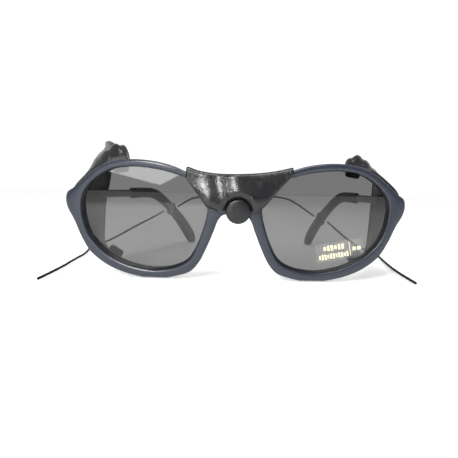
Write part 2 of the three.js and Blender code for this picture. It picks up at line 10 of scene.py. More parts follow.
import bmesh
import bpy
from mathutils import Matrix, Vector, noise
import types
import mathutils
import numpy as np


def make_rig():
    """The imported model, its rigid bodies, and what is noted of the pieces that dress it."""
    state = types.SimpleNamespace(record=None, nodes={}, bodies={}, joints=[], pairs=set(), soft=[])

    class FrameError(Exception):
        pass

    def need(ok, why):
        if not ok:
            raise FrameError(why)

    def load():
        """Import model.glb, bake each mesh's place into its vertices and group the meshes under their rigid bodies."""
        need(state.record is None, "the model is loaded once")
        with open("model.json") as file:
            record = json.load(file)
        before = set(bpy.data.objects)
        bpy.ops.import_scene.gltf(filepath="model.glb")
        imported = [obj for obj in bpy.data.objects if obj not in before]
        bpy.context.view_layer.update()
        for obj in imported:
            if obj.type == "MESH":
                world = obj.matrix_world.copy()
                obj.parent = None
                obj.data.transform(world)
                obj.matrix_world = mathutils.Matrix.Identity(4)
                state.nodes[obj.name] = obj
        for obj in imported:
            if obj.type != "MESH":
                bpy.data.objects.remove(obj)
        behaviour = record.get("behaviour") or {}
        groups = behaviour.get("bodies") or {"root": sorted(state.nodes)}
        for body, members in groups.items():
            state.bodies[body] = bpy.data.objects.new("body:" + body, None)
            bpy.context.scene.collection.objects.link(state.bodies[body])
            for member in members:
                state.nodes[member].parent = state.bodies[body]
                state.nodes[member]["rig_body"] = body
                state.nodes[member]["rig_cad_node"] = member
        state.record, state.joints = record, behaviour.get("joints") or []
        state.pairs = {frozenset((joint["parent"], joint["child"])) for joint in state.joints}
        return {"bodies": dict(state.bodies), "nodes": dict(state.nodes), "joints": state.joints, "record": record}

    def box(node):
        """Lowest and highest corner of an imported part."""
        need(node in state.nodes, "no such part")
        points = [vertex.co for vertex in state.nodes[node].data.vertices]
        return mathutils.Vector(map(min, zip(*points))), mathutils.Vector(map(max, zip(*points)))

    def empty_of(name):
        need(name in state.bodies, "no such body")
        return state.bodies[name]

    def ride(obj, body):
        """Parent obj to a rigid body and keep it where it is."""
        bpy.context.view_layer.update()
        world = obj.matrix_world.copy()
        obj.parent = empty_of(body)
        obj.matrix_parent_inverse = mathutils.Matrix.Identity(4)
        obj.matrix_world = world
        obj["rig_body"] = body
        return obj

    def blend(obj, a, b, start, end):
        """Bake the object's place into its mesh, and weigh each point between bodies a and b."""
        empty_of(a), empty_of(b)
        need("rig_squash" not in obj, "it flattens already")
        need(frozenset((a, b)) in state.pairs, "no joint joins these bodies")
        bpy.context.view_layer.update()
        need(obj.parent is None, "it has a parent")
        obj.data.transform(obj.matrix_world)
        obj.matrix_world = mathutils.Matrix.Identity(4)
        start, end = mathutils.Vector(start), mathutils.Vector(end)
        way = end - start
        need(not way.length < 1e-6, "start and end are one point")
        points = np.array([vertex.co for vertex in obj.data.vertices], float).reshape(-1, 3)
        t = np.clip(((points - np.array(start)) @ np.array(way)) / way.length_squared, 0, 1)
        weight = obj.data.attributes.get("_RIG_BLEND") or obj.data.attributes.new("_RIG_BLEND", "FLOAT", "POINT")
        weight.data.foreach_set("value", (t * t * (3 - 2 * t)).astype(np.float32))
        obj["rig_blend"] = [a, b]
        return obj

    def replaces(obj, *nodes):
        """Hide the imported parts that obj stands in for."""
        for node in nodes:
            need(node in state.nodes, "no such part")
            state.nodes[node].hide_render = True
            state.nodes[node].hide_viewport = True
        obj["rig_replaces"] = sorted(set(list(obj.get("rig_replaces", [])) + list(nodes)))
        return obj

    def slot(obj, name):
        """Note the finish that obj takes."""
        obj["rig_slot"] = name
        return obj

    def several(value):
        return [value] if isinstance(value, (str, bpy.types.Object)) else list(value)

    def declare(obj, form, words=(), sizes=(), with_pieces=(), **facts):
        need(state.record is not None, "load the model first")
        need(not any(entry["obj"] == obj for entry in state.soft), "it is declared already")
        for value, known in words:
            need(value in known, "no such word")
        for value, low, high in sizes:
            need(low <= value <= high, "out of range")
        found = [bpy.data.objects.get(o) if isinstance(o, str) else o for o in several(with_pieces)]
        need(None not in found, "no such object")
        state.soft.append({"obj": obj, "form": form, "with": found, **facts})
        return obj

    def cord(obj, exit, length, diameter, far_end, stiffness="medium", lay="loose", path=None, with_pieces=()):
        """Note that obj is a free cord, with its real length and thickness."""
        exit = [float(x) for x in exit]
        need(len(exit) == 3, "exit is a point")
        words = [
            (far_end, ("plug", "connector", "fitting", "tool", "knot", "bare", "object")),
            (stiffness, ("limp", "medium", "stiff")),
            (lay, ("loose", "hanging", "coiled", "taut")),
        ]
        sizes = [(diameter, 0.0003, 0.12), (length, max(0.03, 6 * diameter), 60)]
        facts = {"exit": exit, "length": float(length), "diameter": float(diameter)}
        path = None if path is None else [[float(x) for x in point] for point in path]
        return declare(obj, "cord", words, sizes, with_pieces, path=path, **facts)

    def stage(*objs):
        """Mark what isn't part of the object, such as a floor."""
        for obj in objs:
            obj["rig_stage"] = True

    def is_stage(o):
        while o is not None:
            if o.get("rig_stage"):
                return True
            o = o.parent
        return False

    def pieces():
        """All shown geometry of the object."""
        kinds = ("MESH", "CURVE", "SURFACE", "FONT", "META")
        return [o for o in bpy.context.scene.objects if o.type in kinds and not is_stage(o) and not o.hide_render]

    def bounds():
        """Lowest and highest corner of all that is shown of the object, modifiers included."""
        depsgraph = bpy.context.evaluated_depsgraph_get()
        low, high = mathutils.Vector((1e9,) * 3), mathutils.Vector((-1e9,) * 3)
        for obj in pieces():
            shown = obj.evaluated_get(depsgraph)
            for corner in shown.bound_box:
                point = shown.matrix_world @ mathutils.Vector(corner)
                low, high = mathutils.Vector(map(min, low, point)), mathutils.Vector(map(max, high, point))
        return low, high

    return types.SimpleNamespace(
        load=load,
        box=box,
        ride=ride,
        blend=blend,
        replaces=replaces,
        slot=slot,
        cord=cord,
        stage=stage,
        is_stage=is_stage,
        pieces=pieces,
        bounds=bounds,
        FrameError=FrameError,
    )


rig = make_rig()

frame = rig.load()
cad_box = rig.bounds()

# ---- driving dimensions, in millimetres

FRONT_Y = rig.box("front_frame")[0].y * 1000
SNAP_BOX = [corner * 1000 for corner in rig.box("snap_cap")]
SNAP_X = (SNAP_BOX[0].x + SNAP_BOX[1].x) / 2
SNAP_Z = (SNAP_BOX[0].z + SNAP_BOX[1].z) / 2
CAP_RADIUS = (SNAP_BOX[1].x - SNAP_BOX[0].x) / 2
HINGES = {j["child"]: Vector(j["pos_m"]) * 1000 for j in frame["joints"] if "temple" in j["name"]}
HINGE_X = HINGES["temple_right"].x
HINGE_Y = HINGES["temple_right"].y - FRONT_Y
ARM_Z = HINGES["temple_right"].z
TEMPLE_YAW = math.radians(8.3)
WRAP_RADIUS = 700
RIM_DEPTH = 4.6
LENS_FRONT = 2.0
LENS_THICKNESS = 1.6
LEATHER = 1.2
CORD_DIAMETER = 1.3
SIDES = (("left", -1), ("right", 1))


def metres(point):
    return Vector((point[0], point[1] + FRONT_Y, point[2])) / 1000


def mix(a, b, t):
    return a + (b - a) * t


def smoothstep(value, low, high):
    t = min(max((value - low) / (high - low), 0), 1)
    return t * t * (3 - 2 * t)


def hump(value, centre, width):
    return math.exp(-(((value - centre) / width) ** 2))


def wrap_y(x):
    return x * x / (2 * WRAP_RADIUS)


class Route:
    """A centripetal Catmull-Rom curve through a few points."""

    def __init__(self, points, samples=800):
        self.points = [Vector(p) for p in points]
        self.guides = [2 * self.points[0] - self.points[1], *self.points,
                       2 * self.points[-1] - self.points[-2]]
        self.samples = [self.at(i / samples) for i in range(samples + 1)]
        self.reach = [0.0]
        for a, b in zip(self.samples, self.samples[1:]):
            self.reach.append(self.reach[-1] + (b - a).length)
        self.length = self.reach[-1]

    def at(self, t):
        """The point at share t of the way through the list of points."""
        place = min(max(t, 0), 1) * (len(self.points) - 1)
        i = min(int(place), len(self.points) - 2)
        w = place - i
        p0, p1, p2, p3 = self.guides[i:i + 4]
        d0, d1, d2 = (max((b - a).length ** 0.5, 1e-4) for a, b in ((p0, p1), (p1, p2), (p2, p3)))
        leave = ((p1 - p0) / d0 - (p2 - p0) / (d0 + d1) + (p2 - p1) / d1) * d1
        arrive = ((p2 - p1) / d1 - (p3 - p1) / (d1 + d2) + (p3 - p2) / d2) * d1
        return ((2 * w**3 - 3 * w**2 + 1) * p1 + (w**3 - 2 * w**2 + w) * leave
                + (3 * w**2 - 2 * w**3) * p2 + (w**3 - w**2) * arrive)

    def along(self, share):
        """The point at that share of the curve's length."""
        target = min(max(share, 0), 1) * self.length
        i = min(max(bisect.bisect_left(self.reach, target), 1), len(self.reach) - 1)
        span = self.reach[i] - self.reach[i - 1]
        return self.samples[i - 1].lerp(self.samples[i], (target - self.reach[i - 1]) / span)

    def tangent(self, share, step=2e-3):
        return (self.along(share + step) - self.along(share - step)).normalized()


# ---- meshes

def new_object(name, points, faces, materials, face_slots=None, sharp=None):
    """A smooth-shaded mesh with its faces turned out; edges over the sharp angle stay crisp."""
    mesh = bpy.data.meshes.new(name)
    mesh.from_pydata([metres(p) for p in points], [], faces)
    for material in materials:
        mesh.materials.append(material)
    if face_slots:
        mesh.polygons.foreach_set("material_index", face_slots)
    tidy = bmesh.new()
    tidy.from_mesh(mesh)
    bmesh.ops.recalc_face_normals(tidy, faces=tidy.faces)
    tidy.to_mesh(mesh)
    tidy.free()
    mesh.shade_smooth()
    if sharp:
        mesh.set_sharp_from_angle(angle=math.radians(sharp))
    obj = bpy.data.objects.new(name, mesh)
    bpy.context.scene.collection.objects.link(obj)
    return obj


def settle(obj, body, slot, *nodes):
    """Ties a piece to its body, to its finish and to the CAD nodes that it shows."""
    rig.ride(obj, body)
    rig.slot(obj, slot)
    if nodes:
        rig.replaces(obj, *nodes)
    return obj


def apply_modifiers(obj):
    graph = bpy.context.evaluated_depsgraph_get()
    mesh = bpy.data.meshes.new_from_object(obj.evaluated_get(graph))
    obj.modifiers.clear()
    obj.data = mesh


def mirrored(points):
    return [Vector((-p[0], p[1], p[2])) for p in points]


def handed(points, side):
    return mirrored(points) if side < 0 else list(points)


def joined_meshes(parts):
    """Several (points, faces) as one."""
    points, faces = [], []
    for more_points, more_faces in parts:
        base = len(points)
        points.extend(more_points)
        faces.extend([[base + k for k in face] for face in more_faces])
    return points, faces


def loft(rings, closed=False):
    """Skin over rings of points, either closed into a loop or with a fan over each end."""
    sides = len(rings[0])
    points = [p for ring in rings for p in ring]
    faces = []
    for i in range(len(rings) if closed else len(rings) - 1):
        here, there = i * sides, (i + 1) % len(rings) * sides
        for k in range(sides):
            k2 = (k + 1) % sides
            faces.append((here + k, there + k, there + k2, here + k2))
    if not closed:
        for first in (0, (len(rings) - 1) * sides):
            centre = sum((points[first + k] for k in range(sides)), Vector()) / sides
            points.append(centre)
            faces.extend((first + k, first + (k + 1) % sides, len(points) - 1) for k in range(sides))
    return points, faces


def turned(profile, segments):
    """A turned solid about the Y axis: profile is [radius, y], from and to the axis or closed."""
    rings = []
    for k in range(segments):
        a = 2 * math.pi * k / segments
        rings.append([Vector((r * math.cos(a), y, r * math.sin(a))) for r, y in profile])
    return loft(rings, closed=True)


def welded(obj, distance=2e-6):
    """Joins the points that a turned solid has in one place on its axis, and drops empty faces."""
    work = bmesh.new()
    work.from_mesh(obj.data)
    bmesh.ops.remove_doubles(work, verts=work.verts, dist=distance)
    bmesh.ops.dissolve_degenerate(work, edges=work.edges, dist=1e-8)
    bmesh.ops.recalc_face_normals(work, faces=work.faces)
    work.to_mesh(obj.data)
    work.free()
    return obj


def sheet_solid(grid, thickness):
    """A soft sheet with rounded edges: grid[j][i] is its middle surface, thickness(j, i) in mm."""
    rows, columns = len(grid), len(grid[0])

    def normal(j, i):
        across = grid[j][min(i + 1, columns - 1)] - grid[j][max(i - 1, 0)]
        along = grid[min(j + 1, rows - 1)][i] - grid[max(j - 1, 0)][i]
        return across.cross(along).normalized()

    lip = 0.4
    outside, inside = [], []
    for j in range(-1, rows + 1):
        over, under = [], []
        for i in range(-1, columns + 1):
            jj, ii = min(max(j, 0), rows - 1), min(max(i, 0), columns - 1)
            point, half = grid[jj][ii].copy(), thickness(jj, ii) / 2
            n = normal(jj, ii)
            if j != jj:
                inner = grid[jj + (1 if j < 0 else -1)][ii]
                point += (grid[jj][ii] - inner).normalized() * half * lip * 1.6
            if i != ii:
                inner = grid[jj][ii + (1 if i < 0 else -1)]
                point += (grid[jj][ii] - inner).normalized() * half * lip * 1.6
            if j != jj or i != ii:
                half *= lip
            over.append(point + n * half)
            under.append(point - n * half)
        outside.append(over)
        inside.append(under)
    rows, columns = rows + 2, columns + 2
    points = [p for row in outside for p in row] + [p for row in inside for p in row]
    faces = []
    back = rows * columns
    for j in range(rows - 1):
        for i in range(columns - 1):
            a, b = j * columns + i, (j + 1) * columns + i
            faces.append((a, a + 1, b + 1, b))
            faces.append((back + a, back + b, back + b + 1, back + a + 1))
    border = [i for i in range(columns)]
    border += [j * columns + columns - 1 for j in range(1, rows)]
    border += [(rows - 1) * columns + i for i in range(columns - 2, -1, -1)]
    border += [j * columns for j in range(rows - 2, 0, -1)]
    for a, b in zip(border, border[1:] + border[:1]):
        faces.append((a, back + a, back + b, b))
    return points, faces


def tube(route, radius, sides, steps, braid=0.0):
    """A round-ended tube along a Route; braid is the height of its crossing strands."""
    rings, up = [], Vector((0, 0, 1))
    shares = [i / steps for i in range(steps + 1)]
    for share in shares:
        along = route.tangent(share)
        side = along.cross(up)
        if side.length < 0.2:
            side = along.cross(Vector((1, 0, 0)))
        side.normalize()
        lift = side.cross(along)
        distance = share * route.length
        end = min(distance, route.length - distance)
        shrink = math.sqrt(max(1 - (1 - min(end / radius, 1)) ** 2, 0.02))
        ring = []
        for k in range(sides):
            a = 2 * math.pi * k / sides
            strands = math.cos(2 * a + distance * 2.4) + math.cos(2 * a - distance * 2.4)
            r = (radius + braid * (strands / 2 - 1)) * shrink
            ring.append(route.along(share) + side * r * math.cos(a) + lift * r * math.sin(a))
        rings.append(ring)
    return loft(rings)


# ---- materials

class Look:
    """A Principled material with the few node patterns that the pieces share."""

    def __init__(self, name, colour, rough, **sockets):
        self.material = bpy.data.materials.new(name)
        self.material.use_nodes = True
        self.tree = self.material.node_tree
        self.shader = self.tree.nodes["Principled BSDF"]
        self.shader.inputs["Base Color"].default_value = (*colour, 1)
        self.shader.inputs["Roughness"].default_value = rough
        for key, value in sockets.items():
            self.shader.inputs[key.replace("_", " ")].default_value = value
        self.place = self.tree.nodes.new("ShaderNodeTexCoord").outputs["Object"]
        self.normal = None

    def node(self, kind, inputs=(), **settings):
        made = self.tree.nodes.new(kind)
        for key, value in settings.items():
            setattr(made, key, value)
        for key, value in dict(inputs).items():
            if isinstance(value, bpy.types.NodeSocket):
                self.tree.links.new(value, made.inputs[key])
            else:
                made.inputs[key].default_value = value
        return made

    def noise(self, scale, detail=2.0, distortion=0.0):
        return self.node("ShaderNodeTexNoise", {
            "Vector": self.place, "Scale": scale, "Detail": detail,
            "Distortion": distortion}).outputs["Fac"]

    def ranged(self, value, low, high, start=0.3, end=0.7):
        return self.node("ShaderNodeMapRange", {
            "Value": value, "From Min": start, "From Max": end, "To Min": low,
            "To Max": high}).outputs["Result"]

    def mottled(self, colour, scale, detail=3.0):
        """Mixes a second colour into the base colour in soft patches."""
        base = tuple(self.shader.inputs["Base Color"].default_value)
        mixed = self.node("ShaderNodeMix", {
            "Factor": self.ranged(self.noise(scale, detail), 0, 1)}, data_type="RGBA")
        mixed.inputs[6].default_value = base
        mixed.inputs[7].default_value = (*colour, 1)
        self.tree.links.new(mixed.outputs[2], self.shader.inputs["Base Color"])
        return self

    def worn(self, low, high, scale):
        """Lets the roughness wander between two values."""
        spread = self.ranged(self.noise(scale, 4), low, high)
        self.tree.links.new(spread, self.shader.inputs["Roughness"])
        return self

    def bump(self, height, depth_mm):
        """Lays a relief over the ones before it."""
        inputs = {"Height": height, "Distance": depth_mm / 1000, "Strength": 1.0}
        if self.normal:
            inputs["Normal"] = self.normal
        self.normal = self.node("ShaderNodeBump", inputs).outputs["Normal"]
        self.tree.links.new(self.normal, self.shader.inputs["Normal"])
        return self


def leather_look(name, colour, second, rough, coat):
    """Glossy black hide: rounded pebbles, fine pores and soft creases."""
    look = Look(name, colour, rough[0], Specular_IOR_Level=0.44, Coat_Weight=coat,
                Coat_Roughness=0.16)
    look.mottled(second, 260).worn(rough[0], rough[1], 420)
    warp = look.node("ShaderNodeTexNoise", {"Vector": look.place, "Scale": 700.0, "Detail": 2.0})
    bent = look.node("ShaderNodeVectorMath", {0: warp.outputs["Color"], 1: (0.0009,) * 3},
                     operation="MULTIPLY")
    moved = look.node("ShaderNodeVectorMath", {0: look.place, 1: bent.outputs[0]}, operation="ADD")
    pebbles = look.node("ShaderNodeTexVoronoi", {
        "Vector": moved.outputs[0], "Scale": 1150.0, "Smoothness": 0.7}, feature="SMOOTH_F1")
    domes = look.node("ShaderNodeMath", {0: 1.0, 1: pebbles.outputs["Distance"]},
                      operation="SUBTRACT")
    look.bump(look.noise(210, 2, 0.4), 0.025).bump(domes.outputs[0], 0.06)
    look.bump(look.noise(4200, 2), 0.008)
    return look.material


SLATE = Look("slate_plastic", (0.022, 0.0265, 0.039), 0.26, Specular_IOR_Level=0.46)
SLATE.mottled((0.0245, 0.0292, 0.0425), 90).worn(0.2, 0.26, 160)
SLATE.bump(SLATE.noise(3000, 2), 0.004).bump(SLATE.noise(60, 1), 0.02)

# Near-black material on the rim's inner step: painted shade, standing in for the shadow in the lens groove.
GROOVE_PAINTED_SHADE = Look("lens_groove", (0.006, 0.006, 0.008), 0.3, Specular_IOR_Level=0.35)
GROOVE_PAINTED_SHADE.mottled((0.010, 0.010, 0.012), 400).worn(0.25, 0.4, 500)

TIP = Look("ear_tip_plastic", (0.012, 0.012, 0.014), 0.5, Specular_IOR_Level=0.35)
TIP.mottled((0.018, 0.018, 0.020), 120).worn(0.44, 0.56, 260)
TIP.bump(TIP.noise(5200, 2), 0.012)

HIDE = leather_look("black_hide", (0.007, 0.008, 0.009), (0.012, 0.012, 0.013), (0.24, 0.34), 0.1)
PANEL_HIDE = leather_look("panel_hide", (0.004, 0.0045, 0.005), (0.008, 0.008, 0.009), (0.28, 0.38), 0.1)

THREAD = Look("waxed_thread", (0.022, 0.022, 0.024), 0.6)
THREAD.mottled((0.05, 0.05, 0.052), 2600).bump(THREAD.noise(6000, 2), 0.05)

CORD = Look("woven_cord", (0.006, 0.006, 0.007), 0.8, Specular_IOR_Level=0.2)
CORD.mottled((0.014, 0.014, 0.015), 2200).bump(CORD.noise(5200, 2), 0.06)

STEEL = Look("plated_steel", (0.62, 0.62, 0.64), 0.25, Metallic=1.0)
STEEL.mottled((0.5, 0.5, 0.52), 900).worn(0.18, 0.34, 700).bump(STEEL.noise(2600, 2), 0.006)

BLACKED = Look("blacked_steel", (0.05, 0.05, 0.055), 0.35, Metallic=0.8)
BLACKED.mottled((0.035, 0.035, 0.038), 900).worn(0.28, 0.42, 700)
BLACKED.bump(BLACKED.noise(2600, 2), 0.006)

ENAMEL = Look("snap_enamel", (0.006, 0.0064, 0.0072), 0.3, Specular_IOR_Level=0.42)
ENAMEL.mottled((0.009, 0.0094, 0.0104), 260).worn(0.27, 0.36, 420)
ENAMEL.bump(ENAMEL.noise(2400, 2), 0.004)

CLIP = Look("clip_plastic", (0.012, 0.012, 0.014), 0.32)
CLIP.mottled((0.018, 0.018, 0.02), 300).bump(CLIP.noise(2600, 2), 0.01)

GOLD = Look("gold_print", (0.80, 0.72, 0.44), 0.4, Metallic=0.3)
GOLD.mottled((0.9, 0.84, 0.62), 500).worn(0.28, 0.42, 900)


def lens_look(name, alpha, rough, ior):
    look = Look(name, (0.004, 0.0038, 0.0036), rough, IOR=ior, Alpha=alpha)
    look.mottled((0.006, 0.0057, 0.0054), 25)
    look.worn(rough, rough + 0.015, 60)
    return look.material


LENS_TINT = lens_look("lens_tint", 0.83, 0.012, 1.58)
LENS_CLEAR = lens_look("lens_back_coat", 0.06, 0.02, 1.5)
FILM = Look("label_film", (0.75, 0.74, 0.7), 0.2, IOR=1.45, Alpha=0.06)
FILM.mottled((0.6, 0.6, 0.56), 300).worn(0.16, 0.3, 500)
FILM = FILM.material

# ---- the front frame

# Stations round the right half of the front, clockwise from the top of the bridge: a point on
# the outer edge, then the point of the lens opening that faces it, each as X, Z.
RIM_STATIONS = [
    (-2, 43.2, 14.6, 38.2), (8, 43.6, 17.8, 41.2), (20.6, 45.2, 21.4, 42.9), (25.6, 47.2, 25, 43.9),
    (30.2, 48.6, 30, 45.3), (37, 49.8, 37, 46.5), (45.5, 50.1, 45.2, 47), (54, 48.8, 52.8, 45.8),
    (60.6, 45.6, 58.2, 43.1), (66.1, 41.1, 62.4, 39.2), (69.9, 37.6, 64.3, 36.2),
    (72.6, 35.6, 65.2, 33.6), (73.3, 32.6, 65.3, 31.1), (72.5, 28.9, 65, 28.4),
    (69.5, 23.7, 64.3, 24.6), (65.6, 15.8, 61.8, 18.3), (61.5, 10, 58.2, 13.9), (54.3, 4.8, 52.6, 9.4),
    (46.2, 1.6, 45.5, 6.1), (36, -0.3, 36.4, 4.2), (31, -0.3, 31.4, 4.2), (24, 0.9, 25.4, 5.3),
    (18.2, 3, 20.8, 7.3), (14.9, 6.6, 18.3, 9.6), (11.6, 13.2, 15.8, 14.2), (8.8, 20.1, 13.6, 20),
    (6.8, 25.2, 12.1, 25.4), (4.6, 27.2, 11.6, 28.7), (-2, 27.3, 12, 32),
]
RIM_STEPS = 300
BRIDGE_STEPS = 10
LENS_MIDDLE = Vector((39.5, 0, 25))


def crossing(curve, low, high):
    """The parameter where the outer edge meets the middle plane."""
    for _ in range(40):
        middle = (low + high) / 2
        if (curve.at(middle).x < 0) == (curve.at(low).x < 0):
            low = middle
        else:
            high = middle
    return high


def rim_stations():
    """Each station's outer and inner point, with the way out of the rim at each."""
    outer, inner = (Route([(s[k], 0, s[k + 1]) for s in RIM_STATIONS]) for k in (0, 2))
    step = 1 / (len(RIM_STATIONS) - 1)
    start, end = crossing(outer, 0, step), crossing(outer, 1, 1 - step)
    pairs = []
    for i in range(RIM_STEPS + 1):
        t = mix(start, end, i / RIM_STEPS)
        run = outer.at(t + 1e-3) - outer.at(t - 1e-3)
        out = Vector((-run.z, 0, run.x)).normalized()
        if i in (0, RIM_STEPS):
            out = Vector((0, 0, 1 if i == 0 else -1))
        edge = outer.at(t)
        edge.x = 0 if i in (0, RIM_STEPS) else max(edge.x, 0)
        edge.z = max(edge.z, 0)
        pairs.append([edge, out, inner.at(t)])
    top, bottom = pairs[0], pairs[-1]
    for k in range(1, BRIDGE_STEPS + 1):
        t = k / (BRIDGE_STEPS + 1)
        z = mix(bottom[0].z + 1.6, top[0].z - 1.6, (k - 1) / (BRIDGE_STEPS - 1))
        pairs.append([Vector((0, 0, z)), Vector(), bottom[2].lerp(top[2], t)])
    count = len(pairs)
    for i, pair in enumerate(pairs):
        run = pairs[(i + 2) % count][2] - pairs[i - 2][2]
        pair.append(Vector((-run.z, 0, run.x)).normalized())
    return pairs


def painted_shade_width(inner):
    """The width of the painted shade inside the rim: a dark step that stands in for the groove's shadow, wide below
    and outside the lens, and narrow elsewhere.
    """
    facing = (inner - LENS_MIDDLE).normalized().dot(Vector((0.5, 0, -0.87)))
    return mix(0.15, 0.95, smoothstep(facing, -0.3, 0.45))


def rim_section(edge, out, inner, into):
    """The rim's section at a station, from its side over the face and round to its back."""
    width = painted_shade_width(inner)
    section = []
    for i in range(7):
        a = i / 6 * math.pi / 2
        section.append(edge - out * 1.25 * (1 - math.cos(a)) + Vector((0, 1.1 * (1 - math.sin(a)), 0)))
    # From the step's fourth point inwards, the faces take the painted shade of the lens groove.
    step = [(width + 0.7, 0), (width + 0.3, 0.09), (width + 0.07, 0.32), (width, 0.62), (0.14, 1.4),
            (0, 1.55), (0, 1.95)]
    groove = [(0.6, 1.95), (0.6, 3.65), (0, 3.65)]
    back = [(0, 4.1), (0.13, 4.45), (0.5, RIM_DEPTH)]
    for away, depth in (*step, *groove, *back):
        section.append(inner + into * away + Vector((0, depth, 0)))
    for inset, depth in ((0.9, RIM_DEPTH), (0.27, 4.35), (0, 3.7)):
        section.append(edge - out * inset + Vector((0, depth, 0)))
    return section


# The faces of the section that carry the painted shade of the lens groove, counted round it.
PAINTED_SHADE_FACES = range(10, 16)


def is_painted_shade_face(face, sides):
    """Whether a face of the loft lies in the painted-shade step; the one over the seam doesn't."""
    first, last = min(k % sides for k in face), max(k % sides for k in face)
    return first in PAINTED_SHADE_FACES and last == first + 1


def front_frame(stations):
    """Both halves, joined at the middle plane, with the boss and the recess of the snap."""
    rings = [rim_section(*station) for station in stations]
    points, faces = loft(rings, closed=True)
    points = [Vector((p.x, p.y + wrap_y(p.x), p.z)) for p in points]
    sides = len(rings[0])
    kept, slots = [], []
    for face in faces:
        if max(points[k].x for k in face) < 1e-3:
            continue
        kept.append(face)
        # Slot 1 is the painted shade of the lens groove.
        slots.append(1 if is_painted_shade_face(face, sides) else 0)
    base = len(points)
    both = points + mirrored(points)
    faces = kept + [tuple(base + k for k in reversed(face)) for face in kept]
    rim = new_object("front_frame_moulding", both, faces, [SLATE.material, GROOVE_PAINTED_SHADE.material],
                     slots + slots)
    welded(rim, 4e-6)
    boss = turned([(0, 0.5), (4.4, 0.5), (4.75, 0.6), (4.9, 0.9), (4.9, 4.2), (4.6, 4.5), (0, 4.5)], 96)
    recess = turned([(0, -2), (4.2, -2), (4.2, 2.0), (0, 2.0)], 96)
    for label, shape, operation in (("boss", boss, "UNION"), ("recess", recess, "DIFFERENCE")):
        moved = [p + Vector((SNAP_X, 0, SNAP_Z)) for p in shape[0]]
        tool = welded(new_object(label, moved, shape[1], [SLATE.material]))
        cutter = rim.modifiers.new(label, "BOOLEAN")
        cutter.operation, cutter.object, cutter.solver = operation, tool, "EXACT"
    apply_modifiers(rim)
    for label in ("boss", "recess"):
        bpy.data.objects.remove(bpy.data.objects[label])
    rim.data.shade_smooth()
    rim.data.set_sharp_from_angle(angle=math.radians(50))
    return settle(rim, "frame", "frame_plastic", "front_frame")


def lens(stations, word, side):
    """A tinted lens: its face carries the tint and the reflection, and its back is clear."""
    outline = [s[2] + s[3] * 0.4 for s in stations[::2]]
    shares = [1, 0.99, 0.96, 0.85, 0.7, 0.5, 0.3, 0.12]
    rings = []
    for y, order in ((LENS_FRONT + 0.02, reversed(shares)), (LENS_FRONT + LENS_THICKNESS, shares)):
        for share in order:
            ring = [LENS_MIDDLE.lerp(p, share) for p in outline]
            rings.append([Vector((p.x, y + wrap_y(p.x), p.z)) for p in ring])
    points, faces = loft(rings)
    sides, front_rings = len(outline), len(shares)
    front_centre = len(points) - 2
    slots = [0 if max(face) < front_rings * sides or max(face) == front_centre else 1 for face in faces]
    made = new_object(f"lens_{word}_tinted", handed(points, side), faces, [LENS_TINT, LENS_CLEAR],
                      slots, sharp=40)
    return settle(made, "frame", "tinted_lens", f"lens_{word}")


# ---- the label on the right lens: a clear film with plain gold bars

LABEL_MIDDLE = (45.4, 13.1)
LABEL_HALF = (10.4, 3.9)
LABEL_TILT = math.radians(10)


def label_point(a, b, lift):
    x = LABEL_MIDDLE[0] + a * math.cos(LABEL_TILT) - b * math.sin(LABEL_TILT)
    z = LABEL_MIDDLE[1] + a * math.sin(LABEL_TILT) + b * math.cos(LABEL_TILT)
    return Vector((x, LENS_FRONT + wrap_y(x) - lift, z))


def label_slab(a0, a1, b0, b1, lift, thick, steps=1):
    rings = []
    for i in range(steps + 1):
        a = mix(a0, a1, i / steps)
        rings.append([label_point(a, b0, lift), label_point(a, b1, lift),
                      label_point(a, b1, lift + thick), label_point(a, b0, lift + thick)])
    return loft(rings)


def lens_label():
    (half_a, half_b), film_lift = LABEL_HALF, 0.06
    film = label_slab(-half_a, half_a, -half_b, half_b, film_lift, 0.06, 16)
    made = new_object("lens_label_film", *film, [FILM], sharp=30)
    settle(made, "frame", "label_film", "lens_label")
    bars = []
    rows = ((1.6, 2.3, -6.9, 6, 1.55), (-1.9, 2.2, -9.4, 11, 1.2))
    for middle, height, start, count, pitch in rows:
        for i in range(count):
            left = start + i * pitch
            tall = height * (1 if i % 3 else 0.7)
            bars.append((left, left + 0.7 * pitch, middle - tall / 2, middle + tall / 2))
    bars.append((4.2, 4.45, -3.0, 3.2))
    bars += [(5.5, 7.0, -0.9, 0.6), (7.6, 9.1, -0.9, 0.6)]
    marks = [label_slab(*bar, film_lift + 0.07, 0.03) for bar in bars]
    marks_object = new_object("lens_label_bars", *joined_meshes(marks), [GOLD.material], sharp=30)
    settle(marks_object, "frame", "label_film")


# ---- the leather nose cover

COVER_TOP = [(-20.2, 47.4), (-16, 46), (-9, 44.9), (0, 44.7), (10, 45.3), (18, 46.5), (24.2, 48)]
COVER_LOW_LEFT = [(-20.3, 42.4), (-15.8, 36.8), (-11.2, 30.6)]
COVER_LOW_RIGHT = [(12.4, 31), (17.6, 37.2), (22.6, 42.8)]
TONGUE_RADIUS = 4.9
COVER_COLUMNS = 132
COVER_FRONT_ROWS = 44
COVER_BACK_ROWS = 24


def stepped(x, points):
    """The height at x on the straight lines between points."""
    for (x0, z0), (x1, z1) in zip(points, points[1:]):
        if x <= x1:
            return mix(z0, z1, (x - x0) / (x1 - x0))
    return points[-1][1]


def cover_low(x, back=False):
    shoulder = [(SNAP_X - 7.5, 28.9), (SNAP_X + 7.5, 28.9)]
    low = stepped(x, [*COVER_LOW_LEFT, *shoulder, *COVER_LOW_RIGHT])
    away = abs(x - SNAP_X)
    if away < TONGUE_RADIUS and not back:
        low = min(low, SNAP_Z - math.sqrt(TONGUE_RADIUS**2 - away**2))
    return low


